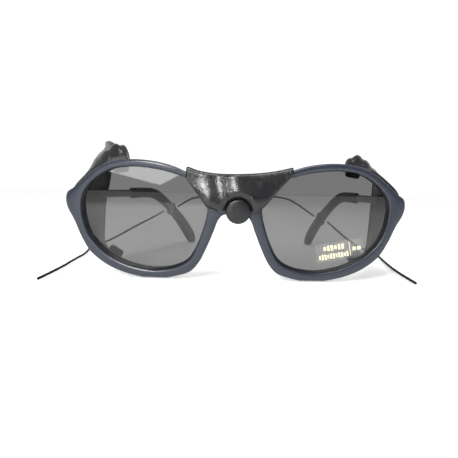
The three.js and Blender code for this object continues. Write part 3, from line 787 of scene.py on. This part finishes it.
def cover_relief(x, z):
    """How far the leather stands forward: a padded middle, and soft folds up from the snap."""
    lean = x + (z - 37) * 0.22
    height = smoothstep(z, 28, 36) * (1 - 0.4 * smoothstep(z, 43, 47))
    puff = 2.6 * hump(z, 33, 8) * (1 - 0.8 * smoothstep(abs(x + 2), 7, 20))
    folds = 1.0 * hump(lean, 2.0, 4.2) - 0.45 * hump(lean, -6.4, 3.0) + 0.15 * hump(x, 15, 4)
    reach = math.hypot(x - SNAP_X, z - SNAP_Z)
    ripples = 0.12 * math.cos((reach - 5.2) * 4.2) * math.exp(-max(reach - 5.2, 0) / 2.4)
    pressed = smoothstep(reach, 4.6, 8.5)
    crumple = 0.07 * noise.noise(Vector((x * 0.22, 3.1, z * 0.16))) + 0.02 * noise.noise(
        Vector((x * 0.6, 7.7, z * 0.5)))
    return (puff + (folds + crumple) * height) * pressed + ripples * smoothstep(z, 29, 33)


def nose_cover():
    """One strip of leather: up the front, over the bridge's top edge and down the back."""
    top = Route([(x, 0, z) for x, z in COVER_TOP])
    left, right = COVER_TOP[0][0], COVER_TOP[-1][0]
    low_left, low_right = COVER_LOW_LEFT[0][0], COVER_LOW_RIGHT[-1][0]
    front_y, back_y = -0.3 - LEATHER / 2, RIM_DEPTH + 0.3 + LEATHER / 2
    columns = []
    for i in range(COVER_COLUMNS + 1):
        share = i / COVER_COLUMNS
        crest = top.along(share)
        crest.z -= LEATHER / 2
        x_low = mix(low_left, low_right, (crest.x - left) / (right - left))
        column = []
        for j in range(COVER_FRONT_ROWS):
            v = j / (COVER_FRONT_ROWS - 1)
            x, z = mix(x_low, crest.x, v), mix(cover_low(x_low) + 0.3, crest.z - 1.5, v)
            column.append(Vector((x, front_y - cover_relief(x, z) * smoothstep(v, -0.1, 0.1), z)))
        forward = column[-1].y
        for j in range(1, 12):
            a = j / 12 * math.pi
            middle, half = (forward + back_y) / 2, (back_y - forward) / 2
            lift = 1.5 * min(1, math.sin(a) * 1.8)
            column.append(Vector((crest.x, middle - half * math.cos(a) + wrap_y(crest.x) * j / 12,
                                  crest.z - 1.5 + lift)))
        for j in range(COVER_BACK_ROWS):
            v = 1 - j / (COVER_BACK_ROWS - 1)
            x = mix(x_low, crest.x, v)
            z = mix(cover_low(x_low, back=True) + 0.3, crest.z - 1.5, v)
            puffed = 0.4 * math.sin(v * math.pi) + 0.15 * noise.noise(Vector((x * 0.3, 1.3, z * 0.3)))
            column.append(Vector((x, back_y + wrap_y(x) + puffed, z)))
        columns.append(column)
    points, faces = sheet_solid(columns, lambda j, i: LEATHER)
    made = new_object("nose_cover_leather", points, faces, [HIDE])
    return made, columns


def blend_cover(obj):
    """The strip stays on the bridge behind, and its front goes with the flap."""
    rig.slot(obj, "leather")
    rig.blend(obj, "frame", "nose_flap", metres((0, 3.2, 44)), metres((0, 0.0, 44)))


def cover_stitches(columns):
    """A line of stitches beside each end of the cover's front."""
    parts = []
    for column in (columns[5], columns[-6]):
        route = Route(column[6:COVER_FRONT_ROWS - 1:4])
        count = int(route.length / 1.9)
        for i in range(count):
            a, b = (i + 0.15) / count, (i + 0.8) / count
            lift = Vector((0, -LEATHER / 2 - 0.02, 0))
            ends = [route.along(mix(a, b, k / 4)) + lift * (1 + 0.25 * math.sin(k / 4 * math.pi))
                    for k in range(5)]
            parts.append(tube(Route(ends, 40), 0.17, 8, 8))
    return new_object("nose_cover_stitches", *joined_meshes(parts), [THREAD.material])


# ---- the snap

SNAP_SEGMENTS = 96

def snap_piece(name, profile, material, body, slot, node):
    """A turned piece on the snap's axis."""
    points, faces = turned(profile, SNAP_SEGMENTS)
    moved = [p + Vector((SNAP_X, 0, SNAP_Z)) for p in points]
    made = welded(new_object(name, moved, faces, [material]))
    made.data.shade_smooth()
    made.data.set_sharp_from_angle(angle=math.radians(50))
    return settle(made, body, slot, node)


def cap_profile():
    """A shallow dome with a rolled edge and a flat back."""
    profile = [(0, -3.35)]
    for i in range(1, 13):
        r = (CAP_RADIUS - 0.75) * i / 12
        profile.append((r, -3.35 + 0.32 * (i / 12) ** 2.4))
    edge_x, edge_y = CAP_RADIUS - 0.72, -2.28
    for i in range(1, 12):
        a = math.pi / 2 - i / 11 * math.pi * 0.95
        profile.append((edge_x + 0.72 * math.cos(a), edge_y - 0.72 * math.sin(a)))
    return [*profile, (CAP_RADIUS - 1.2, -1.55), (0.9, -1.55), (0.9, -0.45), (0, -0.45)]


def snap():
    snap_piece("snap_cap_dome", cap_profile(), ENAMEL.material, "nose_flap", "snap_enamel", "snap_cap")
    snap_piece("snap_socket_ring", [
        (1.75, -0.15), (2.2, -0.2), (3.6, -0.2), (3.8, 0), (3.8, 0.6), (3.6, 0.95), (3.1, 1.15),
        (2.3, 1.2), (1.9, 1.1), (1.7, 0.8), (1.7, 0.1)], STEEL.material, "nose_flap", "bright_metal",
        "snap_socket")
    snap_piece("snap_stud_disc", [
        (0, 1.9), (3.2, 1.9), (3.4, 1.8), (3.4, 1.6), (3.2, 1.5), (1.5, 1.45), (1.15, 1.3),
        (1.1, 1.1), (1.3, 0.8), (1.3, 0.6), (1.0, 0.36), (0.5, 0.3), (0, 0.3)], STEEL.material,
        "frame", "bright_metal", "snap_stud")
    snap_piece("snap_post_rivet", [
        (0, 2.05), (0.9, 2.05), (0.9, 6.2), (2.5, 6.2), (2.65, 6.3), (2.6, 6.55), (2.0, 6.85),
        (1.0, 7.0), (0, 7.05)], STEEL.material, "frame", "bright_metal", "snap_post")


# ---- the leather side shields

# The shield's front edge follows the back of the rim from the lower clip to the upper one, X, Z.
SHIELD_FRONT = Route([(x, 0, z) for x, z in (
    (50.5, 5.2), (60.6, 12.2), (65.4, 19), (69.4, 26.5), (72, 33.2), (70.8, 37.8), (66.4, 42.4),
    (60, 46.8), (47.4, 49.8))])
# Its rear edge stands upright: the bottom and the top corner, X and Z, on each side.
SHIELD_REAR = {"left": ((70.9, 7.5), (70.1, 60)), "right": ((65.2, 8), (68.2, 47))}
SHIELD_BACK_Y = 40
SHIELD_GRID = (110, 40)
CLIP_ROOM = 2.1
HEM = 2.6


def shield_point(word, u, v):
    """A point of the leather's middle surface: u runs up it, and v back from the rim."""
    (x0, z0), (x1, z1) = SHIELD_REAR[word]
    front = SHIELD_FRONT.along(u)
    near_clip = smoothstep(abs(u - 0.5), 0.32, 0.4)
    front.y = RIM_DEPTH + wrap_y(front.x) + 0.3 + (CLIP_ROOM - 0.3) * near_clip
    hollow = 2.4 * hump(u, 0.72, 0.2) if word == "left" else 0
    back = Vector((mix(x0, x1, u) - hollow, SHIELD_BACK_Y, mix(z0, z1, u)))
    point = front.lerp(back, mix(v, smoothstep(v, 0, 1), 0.35))
    point.y = mix(front.y, back.y, v)
    from_top, from_low = (1 - u) * SHIELD_FRONT.length, u * SHIELD_FRONT.length
    seed = 2.0 if word == "left" else 9.0
    pucker = hump(from_top, 4.0, 6.0) * hump(v, 0.17, 0.15) * smoothstep(v, 0, 0.08)
    point.z += 4.3 * pucker
    middle, reach, rise, spread = {"left": (13, 12, 3.2, 3.6), "right": (9, 10, 3.0, 1.2)}[word]
    arch = hump(from_top, middle, reach) * math.sin(v * math.pi) ** 0.8
    if word == "left":
        point.z += 2.2 * hump(from_top, 0, 8) * math.sin(v * math.pi) ** 0.7
    point.z += rise * arch
    point.x += spread * arch
    gathers = math.sin(from_top * 1.35 + seed) * hump(from_top, 5, 8) * hump(v, 0.2, 0.18)
    point.z += 0.55 * gathers * smoothstep(v, 0, 0.08)
    low_gathers = math.sin(from_low * 1.2 + seed) * hump(from_low, 4, 7) * hump(v, 0.2, 0.2)
    point.z -= 0.5 * low_gathers * smoothstep(v, 0, 0.08)
    soft = noise.noise(Vector((u * 3.4 + seed, v * 2.2, 0.5)))
    creases = noise.noise(Vector((u * 9 + seed, v * 5, 2.5)))
    point.x += (1.1 * soft + 0.35 * creases) * math.sin(v * math.pi)
    return point


def side_shield(word, side):
    up, deep = SHIELD_GRID
    grid = [[shield_point(word, i / up, j / deep) for i in range(up + 1)] for j in range(deep + 1)]
    reach = SHIELD_BACK_Y - RIM_DEPTH

    def thickness(j, i):
        hem = 1 - smoothstep((1 - j / deep) * reach, HEM - 0.5, HEM)
        return LEATHER * (1 + 0.45 * hem)

    points, faces = sheet_solid(grid, thickness)
    made = new_object(f"side_shield_{word}_leather", handed(points, side), faces, [PANEL_HIDE])
    settle(made, "frame", "leather", f"side_shield_{word}")
    stitches = shield_stitches(grid, reach)
    sewn = new_object(f"side_shield_{word}_stitches", handed(stitches[0], side), stitches[1],
                      [THREAD.material])
    settle(sewn, "frame", "leather")


def shield_stitches(grid, reach):
    """Two rows of short stitches, one on each face, along the hem at the rear edge."""
    deep = len(grid) - 1
    row = deep - round((HEM - 0.9) / reach * deep)
    line = Route(grid[row][3:-3:4])
    ahead = Route(grid[row - 1][3:-3:4])
    count = int(line.length / 2.6)
    parts = []
    for i in range(count):
        spots = []
        for k in range(5):
            share = mix((i + 0.2) / count, (i + 0.78) / count, k / 4)
            point = line.along(share)
            face = line.tangent(share).cross(point - ahead.along(share)).normalized()
            spots.append((point, face, math.sin(k / 4 * math.pi)))
        for way in (-1, 1):
            lift = LEATHER * 1.45 / 2
            path = [p + n * way * (lift - 0.14 + 0.12 * arch) for p, n, arch in spots]
            parts.append(tube(Route(path, 40), 0.16, 8, 8))
    return joined_meshes(parts)


# ---- clips, hinges and screws: the CAD's own solids, with softened edges

def soften(node, material, width, sharp=40):
    """Gives a CAD node its material and a bevel of that width along its sharp edges."""
    obj = frame["nodes"][node]
    obj.data.materials.clear()
    obj.data.materials.append(material)
    weld = obj.modifiers.new("weld", "WELD")
    weld.merge_threshold = 1e-6
    bevel = obj.modifiers.new("bevel", "BEVEL")
    bevel.width = width / 1000
    bevel.segments = 3
    bevel.limit_method = "ANGLE"
    bevel.angle_limit = math.radians(sharp)
    bevel.harden_normals = False
    smooth = obj.modifiers.new("normals", "WEIGHTED_NORMAL")
    smooth.keep_sharp = False
    obj.data.shade_smooth()


# ---- temples, in the right-hand temple's own frame: the origin is on the hinge pin, +Y along the arm

ARM_INSIDE = 0.6
ARM_WIDTH = 2.3
ARM_HEIGHT = 3.8
ARM_START = 2.1
ARM_END = 46
RIVET_STEPS = (5.5, 10)
TIP_LINE = [
    (1.75, ARM_END + 0.3, 0.1), (1.75, 60, 0.3), (1.7, 72, 0), (1.2, 80, -1.5), (-0.2, 87, -4.9),
    (-3.1, 95, -11.2), (-6, 104, -19), (-8.2, 112.9, -27.5), (-9.5, 118.9, -34.15),
]
TIP_RINGS = 120
TIP_SIDES = 32
TIP_SQUARENESS = 0.62
ARM_SIDES = 40
ARM_SQUARENESS = 0.45
FLOOR_CLEARANCE = 0.03


def tip_half_width(share):
    return 1.65 + 0.35 * share


def tip_half_height(share):
    """The ear tip grows taller towards its end."""
    return 2.9 + 1.6 * smoothstep(share, 0.45, 0.95)


def on_temple(points, side):
    """Takes points from the temple's own frame to the glasses."""
    turn = Matrix.Translation((HINGE_X, HINGE_Y, ARM_Z)) @ Matrix.Rotation(TEMPLE_YAW, 4, "Z")
    return handed([turn @ Vector(p) for p in points], side)


def oval(centre, side, up, width, height, power, sides):
    """A rounded-rectangle ring; a lower power makes its corners squarer."""
    ring = []
    for k in range(sides):
        a = (k + 0.5) / sides * 2 * math.pi
        c, s = math.cos(a), math.sin(a)
        ring.append(centre + side * width * math.copysign(abs(c) ** power, c)
                    + up * height * math.copysign(abs(s) ** power, s))
    return ring


def arm_shape():
    middle = ARM_INSIDE + ARM_WIDTH / 2
    across, up = Vector((1, 0, 0)), Vector((0, 0, 1))
    rings = []
    length = ARM_END + 1.5 - ARM_START
    for i in range(61):
        t = (1 - math.cos(i / 60 * math.pi)) / 2
        y = ARM_START + t * length
        end = min(y - ARM_START, ARM_START + length - y)
        round_off = math.sqrt(max(1 - (1 - min(end / 0.7, 1)) ** 2, 0.25))
        rings.append(oval(Vector((middle, y, 0)), across, up, ARM_WIDTH / 2 * round_off,
                          ARM_HEIGHT / 2 * mix(0.8, 1, round_off), ARM_SQUARENESS, ARM_SIDES))
    return loft(rings)


def tip_shape():
    line = Route(TIP_LINE)
    rings = []
    for i in range(TIP_RINGS + 1):
        t = i / TIP_RINGS
        along = line.tangent(t)
        up = Vector((0, -along.z, along.y)).normalized()
        side = along.cross(up).normalized()
        past = max(0, (t - 0.925) / 0.075)
        height = tip_half_height(t) * math.sqrt(max(0.012, 1 - past**2))
        width = min(tip_half_width(t), height)
        start = min(t * line.length / 0.8, 1)
        lip = math.sqrt(max(1 - (1 - start) ** 2, 0.0))
        height, width = height * mix(0.86, 1, lip), width * mix(0.8, 1, lip)
        rings.append(oval(line.along(t), side, up, width, height, TIP_SQUARENESS, TIP_SIDES))
    return loft(rings)


def rivet_shape(y):
    """A rivet with a low domed head on each face of the arm."""
    inside, outside = -1.1, ARM_INSIDE + ARM_WIDTH + 0.4
    profile = [(0, inside), (0.6, inside + 0.03), (1.0, inside + 0.16), (1.15, inside + 0.4),
               (0.5, inside + 0.42), (0.5, outside - 0.32), (1.15, outside - 0.3),
               (1.0, outside - 0.14), (0.6, outside - 0.03), (0, outside)]
    points, faces = turned(profile, 40)
    return [Vector((p.y, y + p.x, p.z)) for p in points], faces


def temple(word, side):
    body = f"temple_{word}"
    points, faces = arm_shape()
    arm = new_object(f"temple_arm_{word}_bar", on_temple(points, side), faces, [SLATE.material],
                     sharp=60)
    settle(arm, body, "frame_plastic", f"temple_arm_{word}")
    points, faces = tip_shape()
    resting = [Vector((p.x, p.y, max(p.z, FLOOR_CLEARANCE))) for p in on_temple(points, side)]
    tip = new_object(f"ear_tip_{word}_sleeve", resting, faces, [TIP.material], sharp=60)
    settle(tip, body, "ear_tip_plastic", f"ear_tip_{word}")
    for y, place in zip(RIVET_STEPS, ("front", "rear")):
        points, faces = rivet_shape(y)
        name = f"temple_rivet_{place}_{word}"
        rivet = welded(new_object(name + "_head", on_temple(points, side), faces, [BLACKED.material],
                                  sharp=50))
        settle(rivet, body, "bright_metal", name)
    soften(f"temple_hinge_leaf_{word}", BLACKED.material, 0.12)
    soften(f"frame_hinge_leaf_{word}", BLACKED.material, 0.12)
    soften(f"hinge_screw_{word}", BLACKED.material, 0.06)
    for end in ("top", "bottom"):
        soften(f"shield_clip_{end}_{word}", CLIP.material, 0.3)


# ---- the retaining cord

# Where the cord goes round each ear tip, as a share of the tip's length.
WRAP_SHARE = {"left": 0.592, "right": 0.681}
WRAP_LEAN = 0.5
WRAP_STEPS = 56
CORD_SIDES = 14
BRAID_HEIGHT = 0.05
CORD_ROUTES = {
    "cord_tail_left": [
        (-55.4, 102.1, 22.8), (-60.7, 102.3, 19.5), (-69.1, 102.5, 14.9), (-78.5, 102.8, 9.6),
        (-87.8, 102.8, 4.2), (-93.6, 101, 1.5), (-96.2, 96, 0.8), (-94.9, 88, 0.7),
        (-92.9, 77, 0.7), (-89.4, 65, 0.7), (-86.8, 55, 0.7), (-84.8, 43, 0.7), (-82.8, 31, 0.7),
        (-80.8, 20, 0.7), (-79.1, 8, 0.7), (-78, -1, 0.7), (-77.1, -9.4, 0.7),
    ],
    "cord_tail_right": [
        (52.6, 107.7, 17.6), (57, 107.8, 13.9), (62.6, 106.5, 9.1), (68.2, 103.4, 4.9),
        (73, 97.6, 2), (76.2, 89.6, 0.9), (78, 80, 0.7), (78.6, 70, 0.7), (77.8, 60, 0.7),
        (77, 49, 0.7), (76.4, 39, 0.7), (76.1, 30, 0.7), (76.1, 16.4, 0.7), (76.5, 5.8, 0.7),
        (76.8, -1.5, 0.7),
    ],
    "cord_middle_left": [
        (-46.9, 102.1, 25.5), (-44.2, 103.4, 27.3), (-40.8, 104.6, 29.5), (-37.3, 105.5, 31.3),
        (-32, 106.9, 32.3), (-24, 108.8, 33), (-16, 110.2, 33.4), (-8, 111.2, 33.5),
        (-0.15, 111.7, 33.5),
    ],
    "cord_middle_right": [
        (0.15, 111.7, 33.5), (9, 111.8, 33.4), (18.8, 111, 33.3), (27, 109.8, 31.6),
        (33.8, 108.7, 27.9), (39.4, 108, 24.1), (44.1, 107.4, 20.8),
    ],
}


def braided(name, points):
    """A stretch of cord, with its Route and 61 points of it in metres."""
    route = Route(points)
    steps = max(round(route.length / 0.45), 24)
    made = new_object(name + "_braid",
                      *tube(route, CORD_DIAMETER / 2, CORD_SIDES, steps, BRAID_HEIGHT), [CORD.material])
    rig.slot(made, "cord")
    path = [metres(route.along(k / 60)) for k in range(61)]
    return made, route, path


def cord_tail(word):
    """One end of the cord: it leaves its turn round the ear tip and lies forward on the table."""
    name = f"cord_tail_{word}"
    made, route, path = braided(name, CORD_ROUTES[name])
    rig.ride(made, f"temple_{word}")
    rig.replaces(made, name)
    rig.cord(made, exit=path[0], length=route.length / 1000, diameter=CORD_DIAMETER / 1000,
            far_end="bare", stiffness="medium", lay="loose", path=path)


def cord_middle(word, side):
    """Half of the stretch between the ear tips: one end goes with its temple."""
    name = f"cord_middle_{word}"
    made, route, path = braided(name, CORD_ROUTES[name])
    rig.replaces(made, name)
    start = path[0] if side < 0 else path[-1]
    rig.cord(made, exit=start, length=route.length / 1000, diameter=CORD_DIAMETER / 1000,
            far_end="object", stiffness="medium", lay="loose", path=path if side < 0 else path[::-1])
    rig.blend(made, f"temple_{word}", "frame", metres((46 * side, 100, 30)), metres((0, 100, 30)))


def cord_wrap(word, side):
    """The one leaning turn of cord round an ear tip."""
    share = WRAP_SHARE[word]
    line = Route(TIP_LINE)
    along = line.tangent(share)
    up = Vector((0, -along.z, along.y)).normalized()
    across = along.cross(up).normalized()
    radius = CORD_DIAMETER / 2
    room = radius + 0.1
    width, height = tip_half_width(share) + room, tip_half_height(share) + room
    rings = []
    for i in range(WRAP_STEPS):
        a = i / WRAP_STEPS * 2 * math.pi
        out = across * math.cos(a) + up * math.sin(a)
        centre = (line.along(share) + across * width * math.cos(a) + up * height * math.sin(a)
                  + along * WRAP_LEAN * math.cos(a))
        rings.append([centre + out * radius * math.cos(b) + along * radius * math.sin(b)
                      for b in (2 * math.pi * k / CORD_SIDES for k in range(CORD_SIDES))])
    points, faces = loft(rings, closed=True)
    made = new_object(f"cord_wrap_{word}_turns", on_temple(points, side), faces, [CORD.material])
    settle(made, f"temple_{word}", "cord", f"cord_wrap_{word}")


# ---- camera, light and floor

# Where the camera stands, level, in front of the inner part of the right lens; its lens is shifted.
CAMERA_PLACE = (16.5, -182.2, 38.8)
CAMERA_LENS = 33.98
CAMERA_SHIFT = (-0.0983, -0.0876)
CAMERA_ROLL = math.radians(1.345)

# The floor is just below the glasses, so that no piece lies in its plane.
FLOOR_Z = -0.5
FLOOR_GLOW = 0.5
WORLD_LIGHT = 0.45
BACKDROP_GLOW = 1.1
BACKDROP_REACH = 3000
CARD_GLOW = 7.0


def camera():
    data = bpy.data.cameras.new("camera")
    obj = bpy.data.objects.new("camera", data)
    bpy.context.scene.collection.objects.link(obj)
    data.sensor_width = 36
    data.lens = CAMERA_LENS
    data.shift_x, data.shift_y = CAMERA_SHIFT
    data.clip_start, data.clip_end = 0.005, 20
    look = Matrix.Rotation(math.pi / 2, 4, "X") @ Matrix.Rotation(CAMERA_ROLL, 4, "Z")
    obj.matrix_world = Matrix.Translation(metres(CAMERA_PLACE)) @ look
    bpy.context.scene.camera = obj


def stage_plane(name, corners, look, glossy_only=False, camera_only=False, unlit=False):
    """A flat sheet of the studio, with its corners in millimetres in the row frame."""
    mesh = bpy.data.meshes.new(name)
    mesh.from_pydata([Vector(c) / 1000 for c in corners], [], [tuple(range(len(corners)))])
    mesh.materials.append(look)
    obj = bpy.data.objects.new(name, mesh)
    bpy.context.scene.collection.objects.link(obj)
    if glossy_only:
        obj.visible_camera = obj.visible_diffuse = obj.visible_transmission = False
        obj.visible_shadow = False
    if unlit:
        obj.visible_diffuse = obj.visible_shadow = False
        obj.visible_glossy = not camera_only
    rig.stage(obj)


def glow(name, strength):
    """A black material that gives off its own white light."""
    look = Look(name, (0, 0, 0), 1.0)
    look.shader.inputs["Emission Color"].default_value = (1, 1, 1, 1)
    look.shader.inputs["Emission Strength"].default_value = strength
    return look.material


def softbox(name, place, aim, size, power):
    data = bpy.data.lights.new(name, "AREA")
    data.shape = "RECTANGLE"
    data.size, data.size_y = size
    data.energy = power
    obj = bpy.data.objects.new(name, data)
    obj.location = Vector(place) / 1000
    way = (Vector(aim) - Vector(place)).normalized()
    obj.rotation_euler = way.to_track_quat("-Z", "Y").to_euler()
    bpy.context.scene.collection.objects.link(obj)


def studio():
    """A white floor and backdrop, a dark room and a bright card that only reflections show, two lamps."""
    scene = bpy.context.scene
    scene.view_settings.view_transform = "Standard"
    world = bpy.data.worlds.new("studio")
    world.use_nodes = True
    world.node_tree.nodes["Background"].inputs["Color"].default_value = (1, 1, 1, 1)
    world.node_tree.nodes["Background"].inputs["Strength"].default_value = WORLD_LIGHT
    scene.world = world
    pale = Look("pale_floor", (0.93, 0.93, 0.93), 0.9, Specular_IOR_Level=0.1)
    pale.shader.inputs["Emission Color"].default_value = (1, 1, 1, 1)
    pale.shader.inputs["Emission Strength"].default_value = FLOOR_GLOW
    pale.mottled((0.95, 0.95, 0.95), 4)
    white, far = glow("white_backdrop", BACKDROP_GLOW), BACKDROP_REACH
    corners = [(-far, far), (far, far), (far, -far), (-far, -far)]
    stage_plane("floor", [(x, y, FLOOR_Z) for x, y in reversed(corners)], pale.material)
    for i, (x, y) in enumerate(corners):
        x2, y2 = corners[(i + 1) % 4]
        stage_plane(f"backdrop_{i}", [(x, y, -900), (x2, y2, -900), (x2, y2, 6000), (x, y, 6000)],
                    white, camera_only=i > 0, unlit=True)
    dark = glow("dark_room", 0.0)
    stage_plane("room_behind_camera", [(-2600, -1700, 12), (2600, -1700, 12), (2600, -1700, 620),
                                       (-2600, -1700, 620)], dark, glossy_only=True)
    bright = glow("window_card", CARD_GLOW)
    stage_plane("bright_card", [(-640, -1000, 84), (-375, -1000, 42), (-297, -1000, 71),
                                (-240, -1000, 170), (-640, -1000, 170)], bright, glossy_only=True)
    softbox("key", (-270, -740, 420), (0, -60, 35), (0.13, 0.22), 5.0)
    softbox("top", (-60, -330, 760), (0, -60, 10), (0.4, 0.26), 3.0)


camera()
for side_word, side_sign in SIDES:
    cord_tail(side_word)
    cord_middle(side_word, side_sign)
    cord_wrap(side_word, side_sign)

rim = rim_stations()
front_frame(rim)
for side_word, side_sign in SIDES:
    lens(rim, side_word, side_sign)
    side_shield(side_word, side_sign)
    temple(side_word, side_sign)
lens_label()
cover, cover_columns = nose_cover()
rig.replaces(cover, "nose_cover_front", "nose_cover_back")
blend_cover(cover)
blend_cover(cover_stitches(cover_columns))
snap()
studio()

boxes = {"cad": [list(corner) for corner in cad_box], "visual": [list(corner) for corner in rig.bounds()]}
with open("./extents.json", "w") as out:
    json.dump(boxes, out)
